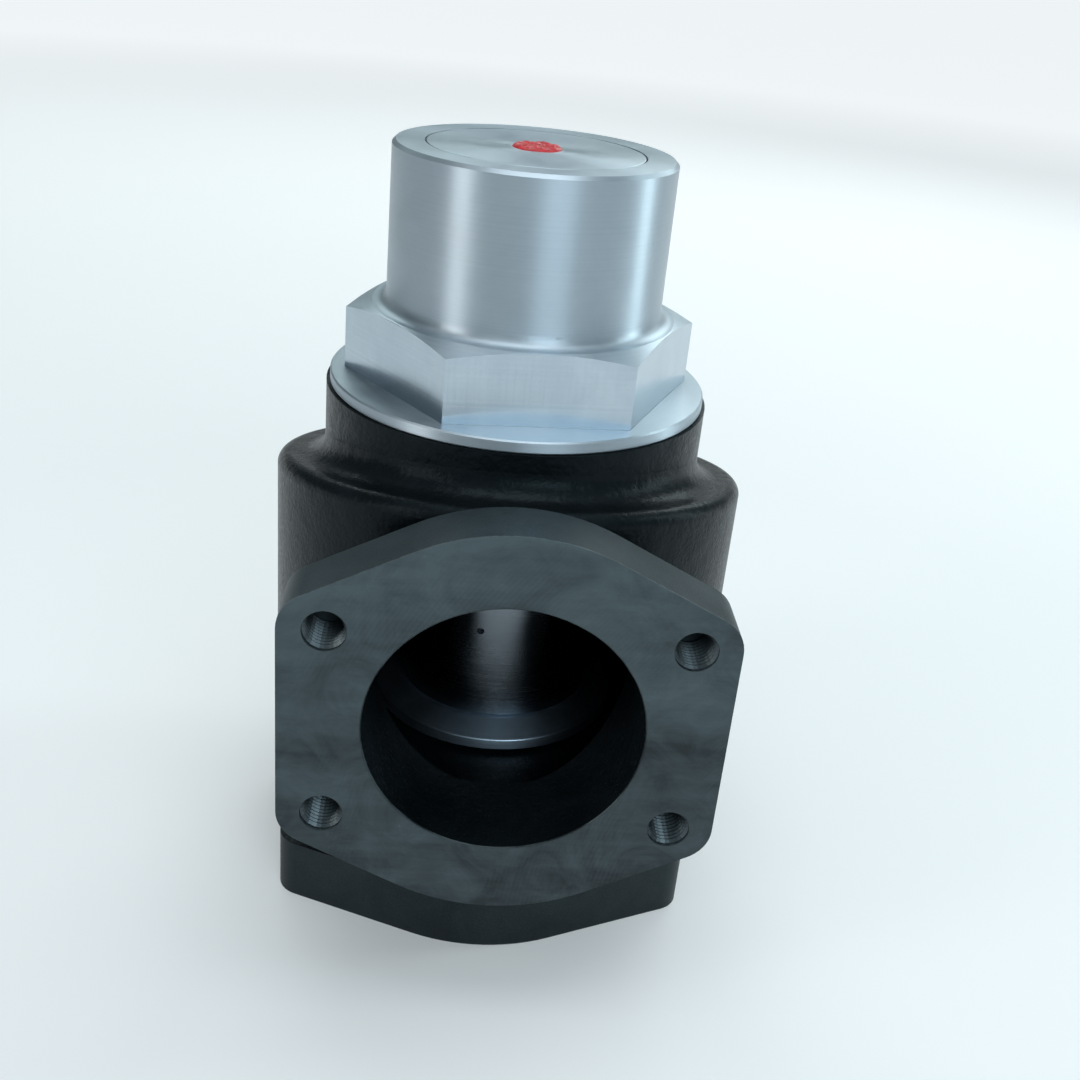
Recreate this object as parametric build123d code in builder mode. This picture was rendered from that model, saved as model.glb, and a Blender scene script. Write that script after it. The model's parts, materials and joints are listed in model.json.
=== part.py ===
from build123d import *
import math
import os

# Minimum pressure valve for a compressor's separator, 4 inch flange ports.
# The origin is the centre of the inlet face. +Z runs up the valve's axis and
# the outlet faces -Y. All sizes are in millimetres.

# Ports, after the standard four-bolt split-flange pattern of that size
port_radius = 51.5
bolt_pitch_long = 130.2
bolt_pitch_short = 77.8
bolt_hole_radius = 8.0
mouth_chamfer = 0.7

# Flanges
flange_apex_radius = 79.6
outlet_reach = 119.0
outlet_height = 137.0
outlet_flange_thickness = 24.0
outlet_corner_radius = 14.5
outlet_corner_x = 67.3
outlet_corner_y = 38.9
inlet_flange_thickness = 28.0
inlet_corner_radius = 12.0
inlet_corner_x = 78.8
inlet_corner_y = 41.0

# Cast body
body_radius = 96.8
shoulder_height = 195.5
shoulder_slope = 11.3
shoulder_wall = 14.0
shoulder_round = 5.0
body_foot_height = 74.0
body_foot_round = 24.0
waist_radius = 66.0
waist_fillet = 7.0
neck_radius = 77.6
neck_fillet = 9.0
neck_rise = 33.5
boss_radius = 66.0
boss_fillet = 7.0
chamber_radius = 81.0
chamber_bevel = 6.0

# Seat
seat_height = 84.0
seat_radius = 43.5
seat_land_radius = 49.0
seat_rise = 2.0
throat_depth = 13.0
throat_taper = 11.0

# Bonnet
bonnet_thread_radius = 62.3
thread_clearance = 0.2
bonnet_flange_radius = 76.2
bonnet_flange_thickness = 4.8
bonnet_flange_chamfer = 0.6
hexagon_across_flats = 122.0
hexagon_turn = 5.3
hexagon_height = 28.2
hexagon_chamfer_radius = 60.5
hexagon_chamfer_angle = 20.0
cap_radius = 54.9
cap_fillet = 4.5
cap_height = 61.8
cap_chamfer = 1.4
skirt_lip = 16.8
lift_stop_radius = 38.0
lift_stop_clearance = 1.5
lift_stop_thickness = 6.0
spring_bore_radius = 42.6
bonnet_groove_depth = 3.9
bonnet_groove_width = 4.2

# Guide sleeve
sleeve_bore_radius = 42.0
sleeve_wall = 3.0
sleeve_seat_gap = 23.0
sleeve_chamfer = 0.6
vent_radius = 1.5
vent_height = 136.3
vent_angle = 259.0

# Piston
piston_clearance = 0.5
piston_height = 110.0
piston_wall = 5.5
piston_floor = 8.0
piston_chamfer = 0.8
pocket_radius = 29.0
pocket_depth = 15.5
piston_hub_radius = 16.0
piston_hub_height = 14.0
ring_clearance = 0.05
guide_ring_width = 8.0
guide_ring_depth = 2.2
guide_ring_low = 22.0
guide_ring_inset = 10.0
seal_ring_width = 4.5
seal_ring_depth = 3.0
seal_ring_place = 56.0
ring_gap = 1.5
disc_travel = 12.0
piston_travel = 8.0

# Check disc with its seal, retainer and stem
disc_radius = 53.2
disc_rim = 4.7
disc_cone_height = 4.6
disc_top_radius = 43.0
seal_inner_radius = 36.0
seal_outer_radius = 50.0
seal_thickness = 4.0
retainer_radius = 40.0
retainer_thickness = 5.0
washer_radius = 15.0
washer_thickness = 2.5
stem_radius = 8.0
stem_hole_clearance = 0.2
stem_head_across_flats = 24.0
stem_head_height = 10.0
stem_top = 134.0
stem_nut_height = 8.0
stem_tip_chamfer = 1.3
bush_wall = 2.5
bush_clearance = 0.05
circlip_width = 2.0
circlip_depth = 1.6
circlip_opening = 8.0

# Springs
main_wire_radius = 5.0
main_spring_radius = 29.0
main_spring_pitch = 24.0
check_wire_radius = 1.0
check_spring_radius = 21.0
check_spring_pitch = 5.2
foot_radius = 35.5
foot_bore_radius = 20.0
foot_thickness = 4.0
foot_collar = 3.0
foot_collar_clearance = 0.5
spring_wire_sides = 10

# Spring rest and adjusting plug
rest_depth = 33.8
rest_thickness = 10.0
rest_radius = 41.5
rest_spigot_radius = 23.4
rest_spigot_length = 9.0
plug_clearance = 0.4
plug_thickness = 18.5
plug_nose_radius = 14.0
plug_chamfer = 0.4
plug_socket_across_flats = 14.0
plug_socket_depth = 8.0
plug_groove_place = 6.0
plug_groove_width = 4.4
plug_groove_depth = 3.8

# Tamper seal of wax over the plug's socket
wax_radius = 10.2
wax_height = 2.6
wax_root_depth = 3.0
wax_root_radius = 5.5

# O-ring cords
bonnet_cord_radius = 2.0
sleeve_cord_radius = 1.75
sleeve_cord_drop = 12.0
plug_cord_radius = 1.9
cord_clearance = 0.1

# Heights and radii that follow from the sizes above
neck_top = shoulder_height + neck_rise
chamber_floor = seat_height - seat_rise
throat_height = seat_height - throat_depth
inlet_floor = throat_height - throat_taper
sleeve_bottom = seat_height + sleeve_seat_gap
disc_top = seat_height + disc_rim + disc_cone_height
piston_bottom = disc_top
piston_top = piston_bottom + piston_height
piston_radius = sleeve_bore_radius - piston_clearance
ring_radius = sleeve_bore_radius - ring_clearance
guide_ring_high = piston_height - guide_ring_inset - guide_ring_width
lift_stop_height = piston_top + disc_travel + piston_travel + lift_stop_clearance
sleeve_cord_height = lift_stop_height - sleeve_cord_drop
skirt_bottom = sleeve_cord_height - skirt_lip
pocket_top = piston_bottom + pocket_depth
cup_floor = pocket_top + piston_floor
cup_radius = piston_radius - piston_wall
hub_top = cup_floor + piston_hub_height
sleeve_outer_radius = sleeve_bore_radius + sleeve_wall
bonnet_bore_radius = bonnet_thread_radius + thread_clearance
bonnet_flange_top = neck_top + bonnet_flange_thickness
hexagon_top = bonnet_flange_top + hexagon_height
cap_top = hexagon_top + cap_height
rest_bottom = cap_top - rest_depth
hexagon_corner_radius = hexagon_across_flats / 2 / math.cos(math.radians(30))
hexagon_chamfer_drop = (hexagon_corner_radius - hexagon_chamfer_radius) * math.tan(
    math.radians(hexagon_chamfer_angle)
)
lift_stop_top = lift_stop_height + lift_stop_thickness
washer_bottom = seat_height - retainer_thickness - washer_thickness
stem_head_radius = stem_head_across_flats / 2 / math.cos(math.radians(30))
plug_socket_radius = plug_socket_across_flats / 2 / math.cos(math.radians(30))
bush_outer_radius = stem_radius + bush_clearance + bush_wall
foot_top = cup_floor + foot_thickness
foot_collar_radius = main_spring_radius - main_wire_radius - foot_collar_clearance
plug_radius = spring_bore_radius - plug_clearance
plug_bottom = cap_top - plug_thickness
rest_top = rest_bottom + rest_thickness
shoulder_step = body_radius - neck_radius
shoulder_edge_round = min(shoulder_round, 0.4 * shoulder_step)
neck_root_fillet = min(neck_fillet, 0.5 * shoulder_step)

# Port planes: each has its local Z pointing out of the port
inlet_plane = Plane(origin=(0, 0, 0), x_dir=(1, 0, 0), z_dir=(0, 0, -1))
outlet_plane = Plane(
    origin=(0, -outlet_reach, outlet_height), x_dir=(1, 0, 0), z_dir=(0, -1, 0)
)

# The casting's shoulder falls away from the outlet, and the chamber's roof with it
slope = math.radians(shoulder_slope)
shoulder_plane = Plane(
    origin=(0, 0, shoulder_height), x_dir=(1, 0, 0), z_dir=(0, math.sin(slope), math.cos(slope))
)
roof_plane = shoulder_plane.offset(-shoulder_wall)


def ring_section(inner, outer, bottom, top):
    """Rectangle of a turned ring, drawn in the open sketch on Plane.XZ."""
    with Locations(((inner + outer) / 2, (bottom + top) / 2)):
        Rectangle(outer - inner, top - bottom)


def torus_ring(name, cord_radius, ring_radius_to_centre, height):
    """O-ring of round cord, written as a part of its own."""
    with BuildPart(Plane.XY.offset(height)) as ring:
        Torus(ring_radius_to_centre, cord_radius)
    finish(ring.part, name)


def finish(part, name):
    """Label a finished piece and write it."""
    part.label = name
    export_step(part, f"parts/{name}.step")


def flange_outline(corner_x, corner_y, corner_radius):
    """Outline of a four-bolt flange: crowned above and below, round at the corners."""
    Circle(flange_apex_radius)
    with Locations(*[(x * corner_x, y * corner_y) for x in (-1, 1) for y in (-1, 1)]):
        Circle(corner_radius)
    make_hull()


os.makedirs("parts", exist_ok=True)

# Core of the casting: the chamber round the sleeve, its roof parallel to the shoulder
with BuildPart() as chamber_core:
    with BuildSketch(Plane.XY.offset(chamber_floor)):
        Circle(chamber_radius)
    extrude(amount=neck_top - chamber_floor)
    split(bisect_by=roof_plane, keep=Keep.BOTTOM)
    chamber_rims = chamber_core.edges().filter_by(GeomType.LINE, reverse=True)
    chamfer(chamber_rims, chamber_bevel)

# Valve body: one casting with its chamber, seat, ports and tapped flanges
with BuildPart() as valve_body:
    # outside of the pot, turned about the valve's axis
    with BuildSketch(Plane.XZ) as pot_profile:
        with BuildLine():
            Polyline(
                (0, inlet_flange_thickness / 2),
                (waist_radius + waist_fillet, inlet_flange_thickness / 2),
                (waist_radius + waist_fillet, inlet_flange_thickness),
            )
            RadiusArc(
                (waist_radius + waist_fillet, inlet_flange_thickness),
                (waist_radius, inlet_flange_thickness + waist_fillet),
                waist_fillet,
            )
            Polyline(
                (waist_radius, inlet_flange_thickness + waist_fillet),
                (waist_radius, body_foot_height - body_foot_round),
                (body_radius, body_foot_height),
                (body_radius, neck_top),
                (0, neck_top),
                (0, inlet_flange_thickness / 2),
            )
        make_face()
        foot_corners = pot_profile.vertices().filter_by(
            lambda v: abs(v.X - body_radius) < 0.01 and v.Y < outlet_height
        )
        fillet(foot_corners, body_foot_round)
    revolve(axis=Axis.Z)

    # shoulder cut on its slope, its edge rounded
    split(bisect_by=shoulder_plane, keep=Keep.BOTTOM)
    shoulder_face = valve_body.faces().sort_by(Axis((0, 0, 0), shoulder_plane.z_dir))[-1]
    fillet(shoulder_face.edges(), shoulder_edge_round)

    # neck for the bonnet, filleted into the shoulder
    with BuildSketch(Plane.XY.offset(outlet_height)):
        Circle(neck_radius)
    extrude(amount=neck_top - outlet_height)
    neck_root = valve_body.edges().filter_by(
        lambda e: abs(math.hypot(e.position_at(0.3).X, e.position_at(0.3).Y) - neck_radius) < 0.01
        and abs(shoulder_plane.to_local_coords(e.position_at(0.3)).Z) < 0.01
    )
    fillet(neck_root, neck_root_fillet)

    # outlet boss, flared into the back of its flange
    boss_axis = Axis((0, 0, outlet_height), (0, -1, 0))
    flange_back = -outlet_reach + outlet_flange_thickness
    with BuildSketch(Plane.XY.offset(outlet_height)) as boss_profile:
        with BuildLine():
            Polyline(
                (boss_radius, flange_back + boss_fillet),
                (boss_radius, 0),
                (0, 0),
                (0, flange_back - 1),
                (boss_radius + boss_fillet, flange_back - 1),
                (boss_radius + boss_fillet, flange_back),
            )
            RadiusArc(
                (boss_radius + boss_fillet, flange_back),
                (boss_radius, flange_back + boss_fillet),
                boss_fillet,
            )
        make_face()
    revolve(axis=boss_axis)

    # flange plates
    with BuildSketch(outlet_plane):
        flange_outline(outlet_corner_x, outlet_corner_y, outlet_corner_radius)
    extrude(amount=-outlet_flange_thickness)
    with BuildSketch(inlet_plane):
        flange_outline(inlet_corner_x, inlet_corner_y, inlet_corner_radius)
    extrude(amount=-inlet_flange_thickness)

    # chamber, threaded neck bore, seat, throat and inlet bore
    add(chamber_core.part, mode=Mode.SUBTRACT)
    with BuildSketch(Plane.XY.offset(neck_top)):
        Circle(bonnet_bore_radius)
    extrude(amount=-(neck_top - outlet_height), mode=Mode.SUBTRACT)
    with BuildSketch(Plane.XZ):
        ring_section(seat_radius, seat_land_radius, chamber_floor - 1, seat_height)
    revolve(axis=Axis.Z)
    with BuildSketch(Plane.XZ):
        with BuildLine():
            Polyline(
                (0, 0),
                (port_radius, 0),
                (port_radius, inlet_floor),
                (seat_radius, throat_height),
                (seat_radius, seat_height),
                (0, seat_height),
                (0, 0),
            )
        make_face()
    revolve(axis=Axis.Z, mode=Mode.SUBTRACT)

    # outlet bore
    with BuildSketch(outlet_plane):
        Circle(port_radius)
    extrude(amount=-outlet_reach, mode=Mode.SUBTRACT)
    outlet_mouth = valve_body.faces().sort_by(Axis.Y)[0].inner_wires().edges()
    inlet_mouth = valve_body.faces().sort_by(Axis.Z)[0].inner_wires().edges()
    chamfer(outlet_mouth + inlet_mouth, mouth_chamfer)

    # flange holes, tapped on the real casting
    with Locations(outlet_plane):
        with GridLocations(bolt_pitch_long, bolt_pitch_short, 2, 2):
            Hole(bolt_hole_radius, outlet_flange_thickness + boss_fillet)
    with Locations(inlet_plane):
        with GridLocations(bolt_pitch_long, bolt_pitch_short, 2, 2):
            Hole(bolt_hole_radius, inlet_flange_thickness + waist_fillet)
finish(valve_body.part, "valve_body")

# Bonnet: thread skirt, flange, hexagon and the turned cap that holds the spring
with BuildPart() as bonnet:
    with BuildSketch(Plane.XZ) as bonnet_profile:
        with BuildLine():
            Polyline(
                (0, skirt_bottom),
                (bonnet_thread_radius, skirt_bottom),
                (bonnet_thread_radius, neck_top),
                (bonnet_flange_radius, neck_top),
                (bonnet_flange_radius, bonnet_flange_top),
                (cap_radius, bonnet_flange_top),
                (cap_radius, cap_top),
                (0, cap_top),
                (0, skirt_bottom),
            )
        make_face()
        flange_corners = bonnet_profile.vertices().filter_by(
            lambda v: abs(v.X - bonnet_flange_radius) < 0.01
        )
        chamfer(flange_corners, bonnet_flange_chamfer)
        cap_corners = bonnet_profile.vertices().filter_by(
            lambda v: abs(v.X - cap_radius) < 0.01 and abs(v.Y - cap_top) < 0.01
        )
        chamfer(cap_corners, cap_chamfer)
    revolve(axis=Axis.Z)

    # hexagon, its top corners turned off to a shallow cone
    with BuildSketch(Plane.XY.offset(bonnet_flange_top)):
        RegularPolygon(hexagon_corner_radius, 6, rotation=hexagon_turn)
    extrude(amount=hexagon_top - bonnet_flange_top)
    with BuildSketch(Plane.XZ):
        with BuildLine():
            Polyline(
                (hexagon_chamfer_radius, hexagon_top),
                (hexagon_corner_radius, hexagon_top - hexagon_chamfer_drop),
                (hexagon_corner_radius, hexagon_top),
                (hexagon_chamfer_radius, hexagon_top),
            )
        make_face()
    revolve(axis=Axis.Z, mode=Mode.SUBTRACT)

    # concave foot of the cap on the hexagon
    with BuildSketch(Plane.XZ):
        with BuildLine():
            RadiusArc(
                (cap_radius + cap_fillet, hexagon_top),
                (cap_radius, hexagon_top + cap_fillet),
                cap_fillet,
            )
            Polyline(
                (cap_radius, hexagon_top + cap_fillet),
                (cap_radius - 1, hexagon_top + cap_fillet),
                (cap_radius - 1, hexagon_top),
                (cap_radius + cap_fillet, hexagon_top),
            )
        make_face()
    revolve(axis=Axis.Z)

    # stepped bore: sleeve socket, lift stop, then the bore for spring and plug
    with BuildSketch(Plane.XZ):
        with BuildLine():
            Polyline(
                (0, skirt_bottom),
                (sleeve_outer_radius, skirt_bottom),
                (sleeve_outer_radius, lift_stop_height),
                (lift_stop_radius, lift_stop_height),
                (lift_stop_radius, lift_stop_top),
                (spring_bore_radius, lift_stop_top),
                (spring_bore_radius, cap_top),
                (0, cap_top),
                (0, skirt_bottom),
            )
        make_face()
    revolve(axis=Axis.Z, mode=Mode.SUBTRACT)

    # groove under the flange for its O-ring
    with BuildSketch(Plane.XZ):
        ring_section(
            bonnet_thread_radius - bonnet_groove_depth,
            bonnet_thread_radius + thread_clearance / 2,
            neck_top - bonnet_groove_width,
            neck_top,
        )
    revolve(axis=Axis.Z, mode=Mode.SUBTRACT)

    # groove in the socket for the sleeve's O-ring
    with BuildSketch(Plane.XZ):
        ring_section(
            sleeve_outer_radius - cord_clearance,
            sleeve_outer_radius + 2 * sleeve_cord_radius + cord_clearance,
            sleeve_cord_height - sleeve_cord_radius - cord_clearance,
            sleeve_cord_height + sleeve_cord_radius + cord_clearance,
        )
    revolve(axis=Axis.Z, mode=Mode.SUBTRACT)
finish(bonnet.part, "bonnet")

# Guide sleeve, pressed into the bonnet, with its vent hole
with BuildPart() as guide_sleeve:
    with BuildSketch(Plane.XZ) as sleeve_profile:
        ring_section(sleeve_bore_radius, sleeve_outer_radius, sleeve_bottom, lift_stop_height)
        sleeve_mouth = sleeve_profile.vertices().group_by(Axis.Y)[0]
        chamfer(sleeve_mouth, sleeve_chamfer)
    revolve(axis=Axis.Z)
    vent_direction = Vector(1, 0, 0).rotate(Axis.Z, vent_angle)
    with BuildSketch(Plane(origin=(0, 0, vent_height), z_dir=vent_direction)):
        Circle(vent_radius)
    extrude(amount=sleeve_outer_radius + 1, mode=Mode.SUBTRACT)
finish(guide_sleeve.part, "guide_sleeve")

# Piston: a cup for the main spring, with a pocket below and a hub on the stem
with BuildPart() as piston:
    with BuildSketch(Plane.XZ) as piston_profile:
        with BuildLine():
            Polyline(
                (pocket_radius, piston_bottom),
                (piston_radius, piston_bottom),
                (piston_radius, piston_top),
                (cup_radius, piston_top),
                (cup_radius, cup_floor),
                (piston_hub_radius, cup_floor),
                (piston_hub_radius, hub_top),
                (bush_outer_radius, hub_top),
                (bush_outer_radius, pocket_top),
                (pocket_radius, pocket_top),
                (pocket_radius, piston_bottom),
            )
        make_face()
        piston_ends = piston_profile.vertices().filter_by(
            lambda v: abs(v.X - piston_radius) < 0.01
        )
        chamfer(piston_ends, piston_chamfer)
        cup_corner = piston_profile.vertices().filter_by(
            lambda v: abs(v.X - cup_radius) < 0.01 and abs(v.Y - piston_top) < 0.01
        )
        chamfer(cup_corner, piston_chamfer)
    revolve(axis=Axis.Z)
    with BuildSketch(Plane.XZ):
        for groove_place in (guide_ring_low, guide_ring_high):
            ring_section(
                piston_radius - guide_ring_depth,
                piston_radius + 1,
                piston_bottom + groove_place,
                piston_bottom + groove_place + guide_ring_width,
            )
        ring_section(
            piston_radius - seal_ring_depth,
            piston_radius + 1,
            piston_bottom + seal_ring_place,
            piston_bottom + seal_ring_place + seal_ring_width,
        )
        ring_section(
            bush_outer_radius - 1,
            bush_outer_radius + circlip_depth,
            hub_top - 2 * circlip_width,
            hub_top - circlip_width,
        )
    revolve(axis=Axis.Z, mode=Mode.SUBTRACT)
finish(piston.part, "piston")

# Split guide rings and the seal ring in the piston's grooves
ring_places = [
    ("piston_guide_ring_lower", guide_ring_low, guide_ring_width, guide_ring_depth, 35),
    ("piston_guide_ring_upper", guide_ring_high, guide_ring_width, guide_ring_depth, 155),
    ("piston_seal_ring", seal_ring_place, seal_ring_width, seal_ring_depth, 275),
]
for ring_name, place, width, depth, gap_angle in ring_places:
    with BuildPart() as piston_ring:
        with BuildSketch(Plane.XZ):
            ring_section(
                piston_radius - depth,
                ring_radius,
                piston_bottom + place,
                piston_bottom + place + width,
            )
        revolve(axis=Axis.Z)
        gap_direction = Vector(1, 0, 0).rotate(Axis.Z, gap_angle)
        with BuildSketch(Plane.XY.offset(piston_bottom + place)):
            with Locations(gap_direction * piston_radius):
                Rectangle(depth * 4, ring_gap, rotation=gap_angle)
        extrude(amount=width, mode=Mode.SUBTRACT)
    finish(piston_ring.part, ring_name)

# Stem bush in the piston's hub, held by an internal circlip
with BuildPart() as stem_bush:
    with BuildSketch(Plane.XZ):
        ring_section(
            stem_radius + bush_clearance,
            bush_outer_radius,
            pocket_top,
            hub_top - 2 * circlip_width,
        )
    revolve(axis=Axis.Z)
finish(stem_bush.part, "stem_bush")

with BuildPart() as bush_circlip:
    with BuildSketch(Plane.XY.offset(hub_top - 2 * circlip_width)):
        Circle(bush_outer_radius + circlip_depth)
        Circle(stem_radius + circlip_depth, mode=Mode.SUBTRACT)
        with Locations((bush_outer_radius, 0)):
            Rectangle(bush_outer_radius, circlip_opening, mode=Mode.SUBTRACT)
    extrude(amount=circlip_width)
finish(bush_circlip.part, "bush_circlip")

# Check disc: flat rim on the seat, cone up to the piston
with BuildPart() as check_disc:
    with BuildSketch(Plane.XZ):
        with BuildLine():
            Polyline(
                (stem_radius + stem_hole_clearance, seat_height),
                (seal_inner_radius, seat_height),
                (seal_inner_radius, seat_height + seal_thickness),
                (seal_outer_radius, seat_height + seal_thickness),
                (seal_outer_radius, seat_height),
                (disc_radius, seat_height),
                (disc_radius, seat_height + disc_rim),
                (disc_top_radius, disc_top),
                (stem_radius + stem_hole_clearance, disc_top),
                (stem_radius + stem_hole_clearance, seat_height),
            )
        make_face()
    revolve(axis=Axis.Z)
finish(check_disc.part, "check_disc")

with BuildPart() as disc_seal:
    with BuildSketch(Plane.XZ):
        ring_section(
            seal_inner_radius, seal_outer_radius, seat_height, seat_height + seal_thickness
        )
    revolve(axis=Axis.Z)
finish(disc_seal.part, "disc_seal")

with BuildPart() as seal_retainer:
    with BuildSketch(Plane.XZ) as retainer_profile:
        ring_section(
            stem_radius + stem_hole_clearance,
            retainer_radius,
            seat_height - retainer_thickness,
            seat_height,
        )
        retainer_edge = retainer_profile.vertices().group_by(Axis.Y)[0].sort_by(Axis.X)[-1]
        chamfer(retainer_edge, retainer_thickness / 2)
    revolve(axis=Axis.Z)
finish(seal_retainer.part, "seal_retainer")

# Washer, stem bolt from below and its nut in the piston's pocket
with BuildPart() as lock_washer:
    with BuildSketch(Plane.XY.offset(washer_bottom)):
        Circle(washer_radius)
        Circle(stem_radius + stem_hole_clearance, mode=Mode.SUBTRACT)
    extrude(amount=washer_thickness)
finish(lock_washer.part, "lock_washer")

with BuildPart() as stem_bolt:
    with BuildSketch(Plane.XY.offset(washer_bottom)):
        RegularPolygon(stem_head_radius, 6)
    extrude(amount=-stem_head_height)
    with BuildSketch(Plane.XY.offset(washer_bottom)):
        Circle(stem_radius)
    extrude(amount=stem_top - washer_bottom)
    stem_tip = stem_bolt.edges().group_by(Axis.Z)[-1]
    chamfer(stem_tip, stem_tip_chamfer)
finish(stem_bolt.part, "stem_bolt")

with BuildPart() as stem_nut:
    with BuildSketch(Plane.XY.offset(disc_top)):
        RegularPolygon(stem_head_radius, 6)
        Circle(stem_radius, mode=Mode.SUBTRACT)
    extrude(amount=stem_nut_height)
finish(stem_nut.part, "stem_nut")


def coil_spring(name, wire_radius, coil_radius, pitch, bottom, top):
    """Compression spring with ground ends between two seats."""
    with BuildPart() as spring:
        with BuildLine():
            Helix(
                pitch, top - bottom + 2 * wire_radius, coil_radius, center=(0, 0, bottom - wire_radius)
            )
        with BuildSketch(Plane(origin=(coil_radius, 0, bottom - wire_radius), z_dir=(0, 1, 0))):
            RegularPolygon(wire_radius, spring_wire_sides)
        sweep(is_frenet=True)
        with BuildSketch(Plane.XY.offset(bottom)):
            Circle(coil_radius + 2 * wire_radius)
        extrude(amount=top - bottom, mode=Mode.INTERSECT)
    finish(spring.part, name)


# Springs
coil_spring(
    "main_spring", main_wire_radius, main_spring_radius, main_spring_pitch, foot_top, rest_bottom
)
coil_spring(
    "check_spring", check_wire_radius, check_spring_radius, check_spring_pitch, disc_top, pocket_top
)

# Spring foot on the piston's floor, spring rest under the plug
with BuildPart() as spring_foot:
    with BuildSketch(Plane.XZ):
        with BuildLine():
            Polyline(
                (foot_bore_radius, cup_floor),
                (foot_radius, cup_floor),
                (foot_radius, foot_top),
                (foot_collar_radius, foot_top),
                (foot_collar_radius, foot_top + foot_collar),
                (foot_bore_radius, foot_top + foot_collar),
                (foot_bore_radius, cup_floor),
            )
        make_face()
    revolve(axis=Axis.Z)
finish(spring_foot.part, "spring_foot")

with BuildPart() as spring_rest:
    with BuildSketch(Plane.XZ) as rest_profile:
        with BuildLine():
            Polyline(
                (0, rest_bottom - rest_spigot_length),
                (rest_spigot_radius, rest_bottom - rest_spigot_length),
                (rest_spigot_radius, rest_bottom),
                (rest_radius, rest_bottom),
                (rest_radius, rest_top),
                (0, rest_top),
                (0, rest_bottom - rest_spigot_length),
            )
        make_face()
        rest_corners = rest_profile.vertices().filter_by(lambda v: abs(v.X - rest_radius) < 0.01)
        chamfer(rest_corners, piston_chamfer)
    revolve(axis=Axis.Z)
finish(spring_rest.part, "spring_rest")

# Adjusting plug, flush with the cap's rim, screwed down on the spring rest
with BuildPart() as adjusting_plug:
    with BuildSketch(Plane.XZ) as plug_profile:
        with BuildLine():
            Polyline(
                (0, rest_top),
                (plug_nose_radius, rest_top),
                (plug_nose_radius, plug_bottom),
                (plug_radius, plug_bottom),
                (plug_radius, plug_bottom + plug_groove_place),
                (plug_radius - plug_groove_depth, plug_bottom + plug_groove_place),
                (plug_radius - plug_groove_depth, plug_bottom + plug_groove_place + plug_groove_width),
                (plug_radius, plug_bottom + plug_groove_place + plug_groove_width),
                (plug_radius, cap_top),
                (0, cap_top),
                (0, rest_top),
            )
        make_face()
        plug_corner = plug_profile.vertices().filter_by(
            lambda v: abs(v.X - plug_radius) < 0.01 and abs(v.Y - cap_top) < 0.01
        )
        chamfer(plug_corner, plug_chamfer)
    revolve(axis=Axis.Z)
    with BuildSketch(Plane.XY.offset(cap_top)):
        RegularPolygon(plug_socket_radius, 6)
    extrude(amount=-plug_socket_depth, mode=Mode.SUBTRACT)
finish(adjusting_plug.part, "adjusting_plug")

# Wax seal pressed into the socket and spread over the plug
with BuildPart() as tamper_seal:
    with BuildSketch(Plane.XZ):
        with BuildLine():
            Polyline(
                (wax_radius, cap_top),
                (wax_root_radius, cap_top),
                (wax_root_radius, cap_top - wax_root_depth),
                (0, cap_top - wax_root_depth),
                (0, cap_top + wax_height),
            )
            Spline(
                (0, cap_top + wax_height),
                (wax_radius * 0.6, cap_top + wax_height * 0.92),
                (wax_radius * 0.93, cap_top + wax_height * 0.55),
                (wax_radius, cap_top),
                tangents=((1, 0), (-0.1, -1)),
            )
        make_face()
    revolve(axis=Axis.Z)
finish(tamper_seal.part, "tamper_seal")

# O-rings
torus_ring(
    "bonnet_o_ring",
    bonnet_cord_radius,
    bonnet_bore_radius - cord_clearance - bonnet_cord_radius,
    neck_top - bonnet_cord_radius - cord_clearance,
)
torus_ring(
    "sleeve_o_ring", sleeve_cord_radius, sleeve_outer_radius + sleeve_cord_radius, sleeve_cord_height
)
torus_ring(
    "plug_o_ring",
    plug_cord_radius,
    spring_bore_radius - cord_clearance - plug_cord_radius,
    plug_bottom + plug_groove_place + plug_groove_width / 2,
)
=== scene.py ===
import json
import math

import bpy
from mathutils import Matrix, Vector, noise


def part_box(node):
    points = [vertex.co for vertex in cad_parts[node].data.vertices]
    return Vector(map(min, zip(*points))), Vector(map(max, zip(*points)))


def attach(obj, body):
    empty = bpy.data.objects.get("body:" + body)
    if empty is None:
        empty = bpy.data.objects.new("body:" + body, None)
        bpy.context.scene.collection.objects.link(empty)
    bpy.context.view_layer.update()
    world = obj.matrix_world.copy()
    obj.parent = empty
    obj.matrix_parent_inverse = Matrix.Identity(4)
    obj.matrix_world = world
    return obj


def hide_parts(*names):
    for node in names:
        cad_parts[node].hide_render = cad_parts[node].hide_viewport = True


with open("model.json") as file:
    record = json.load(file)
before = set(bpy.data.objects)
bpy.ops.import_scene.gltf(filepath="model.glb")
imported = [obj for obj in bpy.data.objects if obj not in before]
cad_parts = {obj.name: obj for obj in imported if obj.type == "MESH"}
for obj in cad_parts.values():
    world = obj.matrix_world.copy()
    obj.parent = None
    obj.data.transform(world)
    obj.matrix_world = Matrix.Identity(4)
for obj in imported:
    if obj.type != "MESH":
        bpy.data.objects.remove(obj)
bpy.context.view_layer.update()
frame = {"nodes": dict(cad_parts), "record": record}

nodes = frame["nodes"]

# Sizes read from the frame, in metres
body_low, body_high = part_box("valve_body")
bonnet_low, bonnet_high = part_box("bonnet")
plug_low, plug_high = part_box("adjusting_plug")
seal_low, seal_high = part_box("tamper_seal")
outlet_mount = next(m for m in frame["record"]["mounts"] if m["name"] == "outlet_bolts")
outlet_face_y = outlet_mount["pos_m"][1]
outlet_height = outlet_mount["pos_m"][2]
neck_top = body_high[2]
cap_top = plug_high[2]

# Camera, fitted to the flange holes, rims and edges of the reference view
camera_place = Vector((-0.0253, -0.5064, 0.4037))
camera_yaw = 0.0809
camera_pitch = 0.4500
camera_roll = -0.0976
focal_pixels = 1290.0
image_width = 1080
sensor_width = 36.0

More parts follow.
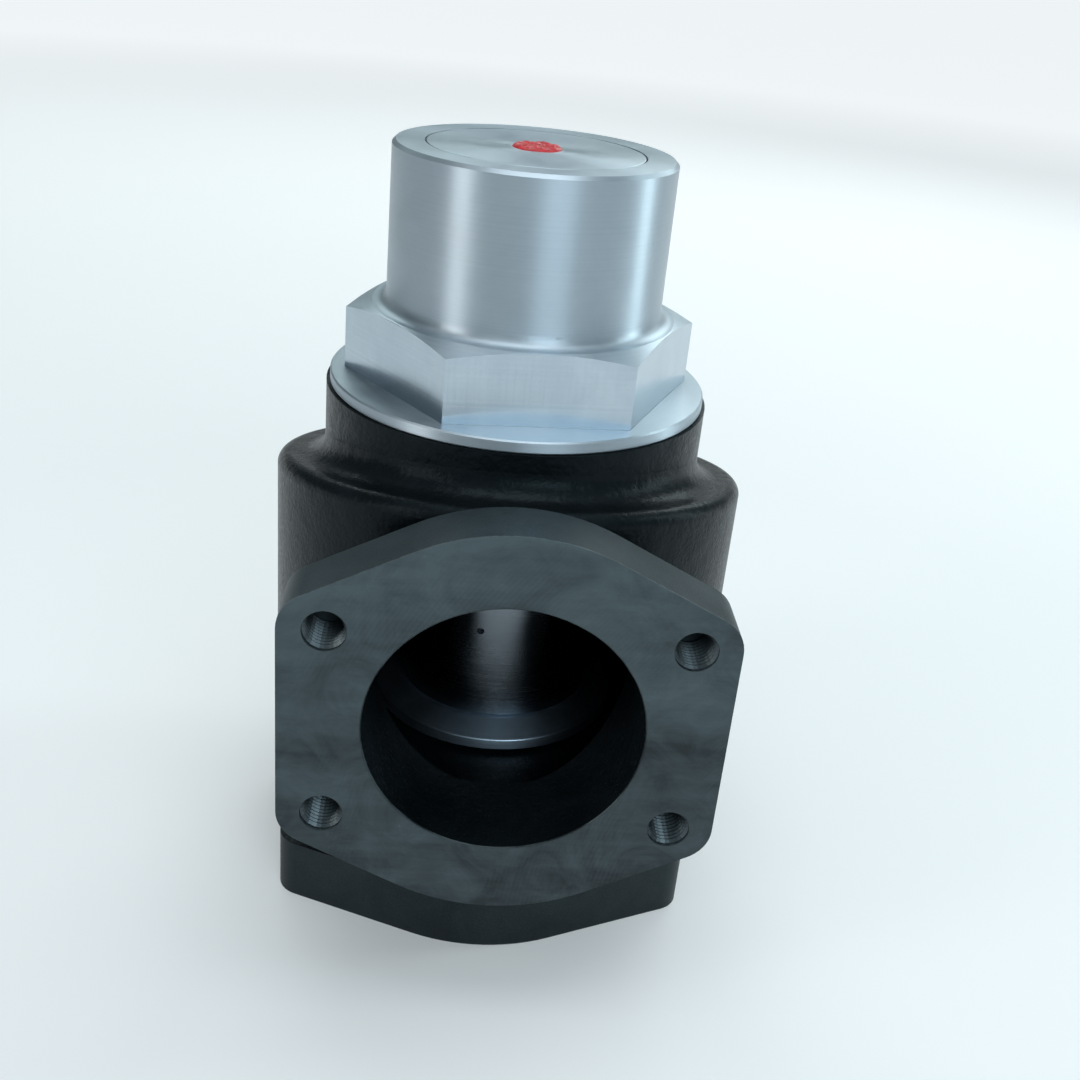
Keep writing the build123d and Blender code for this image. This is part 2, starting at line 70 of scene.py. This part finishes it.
# Studio light: lamps as name, azimuth, distance, height, width, length, power, colour
studio_lamps = [
    ("left_strip", 211, 1.5, 0.75, 0.42, 1.3, 5.0, (1.0, 0.98, 0.95)),
    ("front_right", 289, 1.8, 1.10, 0.90, 0.90, 8.0, (0.76, 0.91, 1.0)),
    ("right_strip", 8, 1.4, 0.70, 0.28, 1.2, 4.8, (0.84, 0.98, 1.0)),
    ("back", 62, 1.9, 1.25, 1.20, 0.80, 9.0, (0.90, 1.0, 1.0)),
    ("back_left", 106, 1.9, 1.55, 1.00, 0.60, 6.0, (0.88, 1.0, 0.98)),
    ("overhead", 270, 0.15, 1.70, 1.00, 1.00, 8.0, (0.93, 0.98, 1.0)),
]
dome_level = 0.20
dome_side = 0.17
dome_rise = 0.30
dome_bright_azimuth = 315
dome_low_tint = (0.62, 0.86, 0.92)
dome_high_tint = (0.86, 0.96, 1.0)


# Marks of the face mill on the flange, and the height where the hexagon's flats lie
mill_mark_pitch = 0.0017
flats_low = neck_top + 0.005
flats_high = neck_top + 0.0325

# Threads of the flange holes
thread_pitch = 0.002
thread_height = 0.0011
thread_start = 0.0007
thread_depth = 0.0238
drill_point = 0.0035

# Turned pieces: the disc's corners as radius, height and edge round, in millimetres
turned_segments = 256
fillet_steps = 5
disc_corners = [
    (8.2, 84.0, 0),
    (36.0, 84.0, 0),
    (36.0, 88.0, 0),
    (50.0, 88.0, 0),
    (50.0, 84.0, 0),
    (53.2, 84.0, 0.5),
    (53.2, 88.7, 0.9),
    (43.0, 93.3, 0.9),
    (8.2, 93.3, 0),
]
plug_corners = [
    (0.01, 300.0, 0),
    (14.0, 300.0, 0.4),
    (14.0, 305.3, 0),
    (42.0, 305.3, 0.4),
    (42.0, 311.3, 0),
    (38.4, 311.3, 0),
    (38.4, 315.7, 0),
    (42.0, 315.7, 0),
    (42.0, 323.8, 0.5),
    (0.01, 323.8, 0),
]


def make_camera():
    """Camera at the reference view's place, looking along its yaw, pitch and roll."""
    forward = Vector((
        math.sin(camera_yaw) * math.cos(camera_pitch),
        math.cos(camera_yaw) * math.cos(camera_pitch),
        -math.sin(camera_pitch),
    ))
    level_right = forward.cross(Vector((0, 0, 1))).normalized()
    level_down = forward.cross(level_right)
    right = math.cos(camera_roll) * level_right + math.sin(camera_roll) * level_down
    down = -math.sin(camera_roll) * level_right + math.cos(camera_roll) * level_down
    data = bpy.data.cameras.new("camera")
    data.lens = focal_pixels / image_width * sensor_width
    data.sensor_width = sensor_width
    data.clip_start = 0.01
    camera = bpy.data.objects.new("camera", data)
    turn = Matrix((right, -down, -forward)).transposed()
    camera.matrix_world = Matrix.Translation(camera_place) @ turn.to_4x4()
    bpy.context.scene.collection.objects.link(camera)
    bpy.context.scene.camera = camera


class Shader:
    """One material and the few node calls that the finishes below need."""

    def __init__(self, name):
        self.material = bpy.data.materials.new(name)
        self.material.use_nodes = True
        self.tree = self.material.node_tree
        self.tree.nodes.clear()
        self.output = self.node("ShaderNodeOutputMaterial")
        self.surface = self.node("ShaderNodeBsdfPrincipled")
        self.link(self.surface.outputs["BSDF"], self.output.inputs["Surface"])
        self.place = self.node("ShaderNodeTexCoord").outputs["Object"]
        self.geometry = self.node("ShaderNodeNewGeometry")

    def node(self, kind, **settings):
        """A new node with its settings."""
        new = self.tree.nodes.new(kind)
        for key, value in settings.items():
            setattr(new, key, value)
        return new

    def link(self, start, end):
        """Joins an output to an input."""
        self.tree.links.new(start, end)

    def put(self, socket, value):
        """Links an output to a socket, or sets the socket's own value."""
        if isinstance(value, bpy.types.NodeSocket):
            self.link(value, socket)
        elif isinstance(value, tuple) and socket.type == "RGBA":
            socket.default_value = (*value, 1.0)
        else:
            socket.default_value = value

    def maths(self, operation, first, second=0.0, third=0.0):
        """Result of a Math node."""
        new = self.node("ShaderNodeMath", operation=operation)
        for socket, value in zip(new.inputs, (first, second, third)):
            self.put(socket, value)
        return new.outputs[0]

    def split(self, vector):
        """The three components of a vector."""
        new = self.node("ShaderNodeSeparateXYZ")
        self.link(vector, new.inputs[0])
        return new.outputs

    def join(self, x, y, z):
        """A vector from three components."""
        new = self.node("ShaderNodeCombineXYZ")
        for socket, value in zip(new.inputs, (x, y, z)):
            self.put(socket, value)
        return new.outputs[0]

    def scaled(self, vector, factors):
        """A vector multiplied by three factors."""
        new = self.node("ShaderNodeVectorMath", operation="MULTIPLY")
        self.link(vector, new.inputs[0])
        new.inputs[1].default_value = factors
        return new.outputs[0]

    def radius(self):
        """Distance from the valve's axis."""
        flat = self.node("ShaderNodeVectorMath", operation="LENGTH")
        self.link(self.scaled(self.place, (1, 1, 0)), flat.inputs[0])
        return flat.outputs["Value"]

    def noise(self, vector, scale, detail=3.0, roughness=0.5, distortion=0.0):
        """Noise value at a scale in turns per metre."""
        new = self.node("ShaderNodeTexNoise")
        self.link(vector, new.inputs["Vector"])
        new.inputs["Scale"].default_value = scale
        new.inputs["Detail"].default_value = detail
        new.inputs["Roughness"].default_value = roughness
        new.inputs["Distortion"].default_value = distortion
        return new.outputs["Fac"]

    def remap(self, value, low, high, new_low=0.0, new_high=1.0):
        """A value mapped from one span to another, clamped."""
        new = self.node("ShaderNodeMapRange")
        self.put(new.inputs["Value"], value)
        new.inputs["From Min"].default_value = low
        new.inputs["From Max"].default_value = high
        new.inputs["To Min"].default_value = new_low
        new.inputs["To Max"].default_value = new_high
        return new.outputs["Result"]

    def blend(self, factor, first, second):
        """Mix of two colours."""
        new = self.node("ShaderNodeMix", data_type="RGBA")
        self.put(new.inputs["Factor"], factor)
        colours = [socket for socket in new.inputs if socket.type == "RGBA"]
        for socket, colour in zip(colours, (first, second)):
            self.put(socket, colour)
        return next(socket for socket in new.outputs if socket.type == "RGBA")

    def mixed(self, factor, first, second):
        """Mix of two values."""
        new = self.node("ShaderNodeMix", data_type="FLOAT")
        self.put(new.inputs["Factor"], factor)
        self.put(new.inputs["A"], first)
        self.put(new.inputs["B"], second)
        return new.outputs["Result"]

    def bump(self, height, distance, strength=1.0, normal=None):
        """Normal from a height, for a depth in metres."""
        new = self.node("ShaderNodeBump")
        new.inputs["Strength"].default_value = strength
        new.inputs["Distance"].default_value = distance
        self.link(height, new.inputs["Height"])
        if normal is not None:
            self.link(normal, new.inputs["Normal"])
        return new.outputs["Normal"]

    def lathe_tangent(self):
        """Tangent round the valve's axis, for turned finishes."""
        new = self.node("ShaderNodeTangent", direction_type="RADIAL", axis="Z")
        return new.outputs["Tangent"]

    def set(self, **values):
        """Sets or links sockets of the surface shader by name."""
        titles = {"specular": "Specular IOR Level", "subsurface": "Subsurface Weight"}
        for name, value in values.items():
            title = titles.get(name, name.replace("_", " ").title())
            self.put(self.surface.inputs[title], value)
        return self.material


def turned_metal(name, light, dark, roughness, groove_depth, anisotropic=0.75, flats=None):
    """Lathe-turned metal: fine grooves round the axis on sides and on ends."""
    s = Shader(name)
    x, y, z = s.split(s.place)
    upright = s.maths("ABSOLUTE", s.split(s.geometry.outputs["Normal"])[2])
    on_end = s.remap(upright, 0.6, 0.8)
    along = s.mixed(on_end, z, s.radius())
    drift = s.noise(s.place, 18.0, detail=2.0)
    line_place = s.join(along, s.maths("MULTIPLY", drift, 0.0001), 0.0)
    fine = s.noise(line_place, 5200.0, detail=2.0, roughness=0.7)
    broad = s.noise(line_place, 900.0, detail=3.0, roughness=0.6)
    height = s.maths("ADD", fine, s.maths("MULTIPLY", broad, 0.4))
    smudge = s.noise(s.place, 45.0, detail=4.0, roughness=0.62, distortion=0.6)
    tone = s.maths("ADD", s.maths("MULTIPLY", broad, 0.45), s.maths("MULTIPLY", smudge, 0.55))
    colour = s.blend(s.remap(tone, 0.35, 0.65), dark, light)
    rough = s.remap(s.maths("ADD", smudge, broad), 0.75, 1.25, roughness * 0.88, roughness * 1.12)
    stretch = s.mixed(on_end, anisotropic, anisotropic * 0.6)
    if flats:
        # milled flats between two heights: smoother, and marked straight up
        low, high, flat_roughness = flats
        inside = s.maths("MULTIPLY", s.maths("GREATER_THAN", z, low), s.maths("LESS_THAN", z, high))
        flat = s.maths("MULTIPLY", inside, s.maths("LESS_THAN", upright, 0.05))
        streaks = s.noise(s.scaled(s.place, (1.0, 1.0, 0.02)), 1500.0, detail=2.0)
        rough = s.mixed(flat, rough, s.remap(streaks, 0.3, 0.7, flat_roughness, flat_roughness * 1.3))
        stretch = s.mixed(flat, stretch, 0.3)
        height = s.mixed(flat, height, streaks)
    return s.set(
        base_color=colour,
        metallic=1.0,
        roughness=rough,
        anisotropic=stretch,
        anisotropic_rotation=0.25,
        tangent=s.lathe_tangent(),
        normal=s.bump(height, groove_depth),
    )


def cast_iron(name):
    """Black cast iron: glossy rough skin, and blackened machined faces."""
    s = Shader(name)
    x, y, z = s.split(s.place)
    from_outlet = s.maths("ABSOLUTE", s.maths("SUBTRACT", y, outlet_face_y))
    on_outlet = s.maths("LESS_THAN", from_outlet, 0.0004)
    on_inlet = s.maths("LESS_THAN", s.maths("ABSOLUTE", z), 0.0004)
    face = s.maths("MAXIMUM", on_outlet, on_inlet)

    # cast skin: orange peel, sand grain and a fine sparkle
    lumps = s.noise(s.place, 120.0, detail=2.0, roughness=0.5)
    lumps = s.maths("MULTIPLY", lumps, s.remap(z, neck_top - 0.035, neck_top - 0.015, 0.30, 0.62))
    grain = s.noise(s.place, 640.0, detail=3.0, roughness=0.6)
    patches = s.noise(s.place, 28.0, detail=6.0, roughness=0.6, distortion=0.8)
    skin = s.blend(s.remap(patches, 0.35, 0.7), (0.0022, 0.0036, 0.0045), (0.0060, 0.0088, 0.0102))
    skin_rough = s.remap(grain, 0.3, 0.7, 0.25, 0.38)
    skin_height = s.maths("ADD", lumps, s.maths("MULTIPLY", grain, 0.20))

    # rims of the flange plates: greyer and duller than the skin; the inlet plate at the foot gets a darker copy
    # of that finish as painted shade
    by_outlet = s.maths("MULTIPLY", s.maths("LESS_THAN", from_outlet, 0.0238), s.maths("GREATER_THAN", z, 0.03))
    centred = s.node("ShaderNodeVectorMath", operation="DISTANCE")
    s.link(s.scaled(s.place, (1, 0, 1)), centred.inputs[0])
    centred.inputs[1].default_value = (0.0, 0.0, outlet_height)
    outside = s.maths("GREATER_THAN", centred.outputs["Value"], 0.0535)
    rim = s.maths("MULTIPLY", by_outlet, outside)
    foot = s.maths("MULTIPLY", s.maths("LESS_THAN", z, 0.0278), s.maths("GREATER_THAN", s.radius(), 0.0535))
    rim_grain = s.noise(s.place, 1500.0, detail=3.0, roughness=0.7)
    rim_tone = s.remap(s.maths("ADD", patches, rim_grain), 0.75, 1.25)
    rim_colour = s.blend(rim_tone, (0.016, 0.023, 0.027), (0.034, 0.046, 0.052))
    # painted shade: the foot plate's colour is the rim finish made darker
    foot_painted_shade_colour = s.blend(rim_tone, (0.008, 0.011, 0.013), (0.020, 0.027, 0.030))
    skin = s.blend(rim, s.blend(foot, skin, foot_painted_shade_colour), rim_colour)
    plate = s.maths("MAXIMUM", rim, foot)
    skin_rough = s.mixed(plate, skin_rough, 0.46)
    skin_height = s.mixed(plate, skin_height, s.maths("MULTIPLY", rim_grain, 0.07))

    # machined face: cloudy bands of blacking, painted shade that darkens it towards the bottom, mill marks in
    # wide arcs, small rubbed spots
    bands = s.noise(s.scaled(s.place, (9.0, 1.0, 55.0)), 1.0, detail=5.0, roughness=0.62)
    clouds = s.noise(s.place, 38.0, detail=7.0, roughness=0.68, distortion=1.2)
    # painted shade: a height ramp makes the face lighter at the top and darker towards the bottom
    painted_shade_ramp = s.remap(z, outlet_height - 0.085, outlet_height + 0.085)
    wear_and_painted_shade = s.maths("ADD", s.maths("MULTIPLY", bands, 0.50), s.maths("MULTIPLY", clouds, 0.45))
    wear_and_painted_shade = s.maths("ADD", wear_and_painted_shade, s.maths("MULTIPLY", painted_shade_ramp, 0.22))
    machined = s.blend(s.remap(wear_and_painted_shade, 0.44, 0.72), (0.011, 0.017, 0.021), (0.072, 0.098, 0.108))
    reach = s.node("ShaderNodeVectorMath", operation="DISTANCE")
    s.link(s.scaled(s.place, (1, 0, 1)), reach.inputs[0])
    reach.inputs[1].default_value = (0.21, 0.0, outlet_height - 0.10)
    arcs = s.maths("SINE", s.maths("MULTIPLY", reach.outputs["Value"], 2 * math.pi / mill_mark_pitch))
    shown = s.remap(s.noise(s.place, 22.0, detail=3.0), 0.50, 0.66)
    arcs = s.maths("MULTIPLY", arcs, shown)
    machined = s.blend(s.maths("MULTIPLY_ADD", arcs, 0.035, 0.035), machined, (0.13, 0.16, 0.17))
    rubbed = s.remap(s.noise(s.place, 260.0, detail=5.0, roughness=0.75), 0.64, 0.72)
    rubbed = s.maths("MULTIPLY", rubbed, s.remap(clouds, 0.50, 0.62))
    machined = s.blend(s.maths("MULTIPLY", rubbed, 0.45), machined, (0.17, 0.20, 0.20))
    face_rough = s.remap(wear_and_painted_shade, 0.3, 0.7, 0.42, 0.52)
    face_height = s.maths("MULTIPLY_ADD", arcs, 0.004, s.maths("MULTIPLY", grain, 0.02))

    # bare edge where the flange's rim meets its face
    chipped = s.noise(s.place, 420.0, detail=3.0)
    chipped = s.mixed(outside, s.remap(patches, 0.45, 0.60, 0.15, 0.9), s.remap(chipped, 0.40, 0.60))
    edge = s.maths("MULTIPLY", s.maths("LESS_THAN", from_outlet, 0.0008), chipped)
    skin = s.blend(s.maths("MULTIPLY", edge, 0.8), skin, (0.10, 0.12, 0.125))
    return s.set(
        base_color=s.blend(face, skin, machined),
        roughness=s.mixed(face, skin_rough, face_rough),
        specular=s.mixed(face, s.mixed(plate, 0.11, 0.22), 0.25),
        specular_tint=s.blend(face, (0.72, 0.92, 1.0), (1.0, 1.0, 1.0)),
        normal=s.bump(s.mixed(face, skin_height, face_height), 0.001),
    )


def soft_matter(name, light, dark, roughness, scale, depth, subsurface=0.0):
    """Rubber, wax or plastic with a faintly uneven skin."""
    s = Shader(name)
    skin = s.noise(s.place, scale, detail=5.0, roughness=0.6)
    colour = s.blend(s.remap(skin, 0.35, 0.65), dark, light)
    rough = s.remap(skin, 0.3, 0.7, roughness * 0.85, roughness * 1.15)
    return s.set(
        base_color=colour,
        roughness=rough,
        subsurface=subsurface,
        normal=s.bump(skin, depth),
    )


finishes = {
    "cast_iron_black": cast_iron("cast_iron_black"),
    "aluminium_turned": turned_metal(
        "aluminium_turned", (0.50, 0.570, 0.625), (0.41, 0.480, 0.540), 0.44, 0.000010,
        anisotropic=0.92, flats=(flats_low, flats_high, 0.20),
    ),
    "steel_ground": turned_metal(
        "steel_ground", (0.21, 0.235, 0.26), (0.15, 0.17, 0.19), 0.26, 0.000002, anisotropic=0.85
    ),
    "steel_dark": turned_metal(
        "steel_dark", (0.20, 0.20, 0.21), (0.12, 0.12, 0.125), 0.35, 0.000010, anisotropic=0.3
    ),
    "bronze": turned_metal("bronze", (0.55, 0.38, 0.18), (0.42, 0.28, 0.13), 0.30, 0.000008),
    "guide_plastic": soft_matter(
        "guide_plastic", (0.16, 0.14, 0.12), (0.12, 0.10, 0.09), 0.55, 900.0, 0.00004
    ),
    "seal_rubber": soft_matter(
        "seal_rubber", (0.030, 0.030, 0.032), (0.018, 0.018, 0.020), 0.55, 1400.0, 0.00003
    ),
    "wax_red": soft_matter(
        "wax_red", (0.62, 0.018, 0.028), (0.42, 0.008, 0.014), 0.38, 420.0, 0.0004, subsurface=0.08
    ),
}
# painted reflection: the disc's steel is a pale blue copy, far lighter than the ground steel, standing in for
# the light it reflects
disc_steel_painted_reflection = turned_metal(
    "disc_steel_painted_reflection", (0.62, 0.74, 0.86), (0.52, 0.62, 0.74), 0.42, 0.000002, anisotropic=0.4
)
thread_steel = turned_metal(
    "thread_steel", (0.10, 0.12, 0.13), (0.05, 0.062, 0.068), 0.34, 0.000004, anisotropic=0.0
)
for subpart in frame["record"]["subparts"]:
    carried = nodes[subpart["node"]]
    carried.data.materials.clear()
    carried.data.materials.append(finishes[subpart["material_slot"]])


def carry(name, points, faces, material, body, smooth=True):
    """A mesh piece that rides on a body of the frame."""
    mesh = bpy.data.meshes.new(name)
    mesh.from_pydata(points, [], faces)
    mesh.validate()
    mesh.materials.append(material)
    if smooth:
        mesh.polygons.foreach_set("use_smooth", [True] * len(mesh.polygons))
    piece = bpy.data.objects.new(name, mesh)
    bpy.context.scene.collection.objects.link(piece)
    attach(piece, body)
    return piece


def rounded(corners):
    """Profile points from corners given as radius, height and fillet, in millimetres."""
    path = []
    count = len(corners)
    for index, (x, z, fillet) in enumerate(corners):
        here = Vector((x, z))
        if fillet == 0:
            path.append(here / 1000)
            continue
        before = (Vector(corners[index - 1][:2]) - here).normalized()
        after = (Vector(corners[(index + 1) % count][:2]) - here).normalized()
        reach = fillet / math.tan(before.angle(after) / 2)
        start = here + before * reach
        end = here + after * reach
        for step in range(fillet_steps + 1):
            t = step / fillet_steps
            path.append((start * (1 - t) ** 2 + here * 2 * t * (1 - t) + end * t * t) / 1000)
    return path


def turn_profile(name, corners, material, body, replaced):
    """Smoothly turned piece in place of a node of the frame."""
    path = rounded(corners)
    count = len(path)
    points = []
    faces = []
    for step in range(turned_segments):
        angle = 2 * math.pi * step / turned_segments
        for x, z in path:
            points.append((x * math.cos(angle), x * math.sin(angle), z))
        following = (step + 1) % turned_segments
        for index in range(count):
            beside = (index + 1) % count
            faces.append((
                step * count + index,
                following * count + index,
                following * count + beside,
                step * count + beside,
            ))
    piece = carry(name, points, faces, material, body)
    piece.data.set_sharp_from_angle(angle=math.radians(28))
    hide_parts(replaced)
    return piece


def make_wax():
    """Set wax over the plug's socket: a thin, puckered disc with a ragged edge."""
    rings = 30
    segments = 120
    radius = seal_high[0] * 0.985
    crown = seal_high[2] - cap_top
    points = [(0, 0, cap_top + crown * 0.40)]
    faces = []
    for ring in range(1, rings + 1):
        share = ring / rings
        for segment in range(segments):
            angle = 2 * math.pi * segment / segments
            ragged = 0.5 + 0.5 * noise.noise((math.cos(angle) * 1.7, math.sin(angle) * 1.7, 4.0))
            edge = radius * (0.90 + 0.10 * ragged)
            x = edge * share * math.cos(angle)
            y = edge * share * math.sin(angle)
            folds = noise.fractal((x * 330, y * 330, 2.0), 1.0, 2.1, 4)
            lip = math.exp(-((share - 0.80) / 0.13) ** 2)
            fall = math.sqrt(max(0.0, 1 - share ** 6))
            height = crown * fall * min(0.75, max(0.12, 0.36 + 0.16 * lip + 0.34 * folds))
            points.append((x, y, cap_top + height))
    for segment in range(segments):
        following = (segment + 1) % segments
        faces.append((0, 1 + segment, 1 + following))
        for ring in range(rings - 1):
            a = 1 + ring * segments
            b = a + segments
            faces.append((a + segment, b + segment, b + following, a + following))
    piece = carry("wax_cover", points, faces, finishes["wax_red"], "preload_plug")
    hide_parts("tamper_seal")


def make_threads(mount, name, depth):
    """Helical threads in the four tapped holes of a flange."""
    origin = Vector(mount["pos_m"])
    inward = -Vector(mount["axis"])
    across = Vector((1, 0, 0))
    up = inward.cross(across)
    root = mount["dims"]["hole_r_mm"] / 1000 - 0.00002
    section = ((0.0, root), (0.44, root - thread_height), (0.56, root - thread_height), (1.0, root))
    turns = int((depth - 2 * thread_pitch) / thread_pitch)
    steps = 28
    points = []
    faces = []
    drill_point_painted_shade = []
    for side in (-1, 1):
        for level in (-1, 1):
            centre = origin + across * side * mount["dims"]["spacing_x_mm"] / 2000
            centre = centre + up * level * mount["dims"]["spacing_y_mm"] / 2000
            first = len(points)
            for step in range(turns * steps + 1):
                angle = 2 * math.pi * step / steps - math.pi / 2
                outward = across * math.cos(angle) + up * math.sin(angle)
                for share, radius in section:
                    along = thread_start + (step / steps + share) * thread_pitch
                    points.append(centre + outward * radius + inward * along)
            for step in range(turns * steps):
                for edge in range(3):
                    a = first + step * 4 + edge
                    faces.append((a, a + 1, a + 5, a + 4))
            # drill point that closes the hole, in black cast iron as painted shade at the hole's bottom
            rim = len(points)
            for step in range(steps):
                angle = 2 * math.pi * step / steps
                outward = across * math.cos(angle) + up * math.sin(angle)
                points.append(centre + outward * root + inward * (depth - drill_point))
            points.append(centre + inward * depth)
            for step in range(steps):
                faces.append((rim + step, rim + (step + 1) % steps, rim + steps))
                drill_point_painted_shade.append(len(faces) - 1)
    piece = carry(name, points, faces, thread_steel, "housing", smooth=False)
    # painted shade: the drill points take the black cast iron instead of the thread steel
    piece.data.materials.append(finishes["cast_iron_black"])
    for index in drill_point_painted_shade:
        piece.data.polygons[index].material_index = 1
    return piece


def seen_directly(tree):
    """One for rays that the camera, a shiny face or glass sends out, else zero."""
    paths = tree.nodes.new("ShaderNodeLightPath")
    total = paths.outputs["Is Camera Ray"]
    for title in ("Is Glossy Ray", "Is Transmission Ray"):
        either = tree.nodes.new("ShaderNodeMath")
        either.operation = "MAXIMUM"
        tree.links.new(total, either.inputs[0])
        tree.links.new(paths.outputs[title], either.inputs[1])
        total = either.outputs[0]
    return total


def make_floor():
    """Plain pale floor under the valve, wide enough to fill the view."""
    s = Shader("floor")
    cloud = s.noise(s.place, 3.0, detail=2.0)
    far_white = s.remap(s.radius(), 0.5, 3.5, 0.12, 0.60)
    material = s.set(
        base_color=s.blend(cloud, (0.80, 0.81, 0.82), (0.82, 0.83, 0.84)),
        roughness=0.9,
        specular=0.1,
        emission_color=(1.0, 1.0, 1.0),
        emission_strength=s.maths("MULTIPLY", seen_directly(s.tree), far_white),
    )
    half = 60.0
    mesh = bpy.data.meshes.new("floor")
    corners = [(-half, -half, 0), (half, -half, 0), (half, half, 0), (-half, half, 0)]
    mesh.from_pydata(corners, [], [(0, 1, 2, 3)])
    mesh.materials.append(material)
    floor = bpy.data.objects.new("floor", mesh)
    floor.location.z = -0.0002
    bpy.context.scene.collection.objects.link(floor)


def world_maths(tree, operation, first, second=0.0, third=0.0):
    """Result of a Math node in the world's tree."""
    new = tree.nodes.new("ShaderNodeMath")
    new.operation = operation
    for socket, value in zip(new.inputs, (first, second, third)):
        if isinstance(value, bpy.types.NodeSocket):
            tree.links.new(value, socket)
        else:
            socket.default_value = value
    return new.outputs[0]


def make_world():
    """Soft studio dome: cool, bright overhead and to the front right, dim behind left."""
    world = bpy.data.worlds.new("studio")
    world.use_nodes = True
    tree = world.node_tree
    tree.nodes.clear()
    place = tree.nodes.new("ShaderNodeTexCoord")
    parts = tree.nodes.new("ShaderNodeSeparateXYZ")
    tree.links.new(place.outputs["Generated"], parts.inputs[0])
    x, y, z = parts.outputs
    bright_azimuth = math.radians(dome_bright_azimuth)
    side = world_maths(tree, "MULTIPLY", x, math.cos(bright_azimuth))
    side = world_maths(tree, "MULTIPLY_ADD", y, math.sin(bright_azimuth), side)
    level = world_maths(tree, "MULTIPLY_ADD", side, dome_side, dome_level)
    level = world_maths(tree, "MULTIPLY_ADD", z, dome_rise, level)
    level = world_maths(tree, "MAXIMUM", level, 0.04)
    tint = tree.nodes.new("ShaderNodeMix")
    tint.data_type = "RGBA"
    colours = [socket for socket in tint.inputs if socket.type == "RGBA"]
    colours[0].default_value = (*dome_low_tint, 1)
    colours[1].default_value = (*dome_high_tint, 1)
    tree.links.new(world_maths(tree, "MULTIPLY_ADD", z, 0.9, 0.1), tint.inputs["Factor"])
    glow = tree.nodes.new("ShaderNodeBackground")
    tree.links.new(next(o for o in tint.outputs if o.type == "RGBA"), glow.inputs["Color"])
    tree.links.new(level, glow.inputs["Strength"])
    output = tree.nodes.new("ShaderNodeOutputWorld")
    tree.links.new(glow.outputs[0], output.inputs[0])
    bpy.context.scene.world = world


def make_lamp(name, place, target, width, height, power, colour=(1, 1, 1)):
    """Area lamp at a place, turned to a target."""
    data = bpy.data.lights.new(name, "AREA")
    data.shape = "RECTANGLE"
    data.size = width
    data.size_y = height
    data.energy = power
    data.color = colour
    lamp = bpy.data.objects.new(name, data)
    lamp.location = place
    direction = Vector(target) - Vector(place)
    lamp.rotation_euler = direction.to_track_quat("-Z", "Y").to_euler()
    bpy.context.scene.collection.objects.link(lamp)


def make_strip(name, azimuth, distance, height, width, length, power, colour):
    """Soft lamp upright beside the valve, at an azimuth about its axis."""
    turn = math.radians(azimuth)
    place = (distance * math.cos(turn), distance * math.sin(turn), height)
    make_lamp(name, place, (0, 0, cap_top * 0.6), width, length, power, colour)


turn_profile(
    "disc_turned", disc_corners, disc_steel_painted_reflection, "check_valve", "check_disc"
)
turn_profile(
    "plug_turned",
    plug_corners,
    finishes["aluminium_turned"],
    "preload_plug",
    "adjusting_plug",
)
make_wax()
for mount in frame["record"]["mounts"]:
    if mount["name"] in ("outlet_bolts", "inlet_bolts"):
        make_threads(mount, mount["name"].replace("bolts", "threads"), thread_depth)
make_camera()
make_floor()
make_world()
for lamp in studio_lamps:
    make_strip(*lamp)

bpy.context.scene.view_settings.view_transform = "Standard"
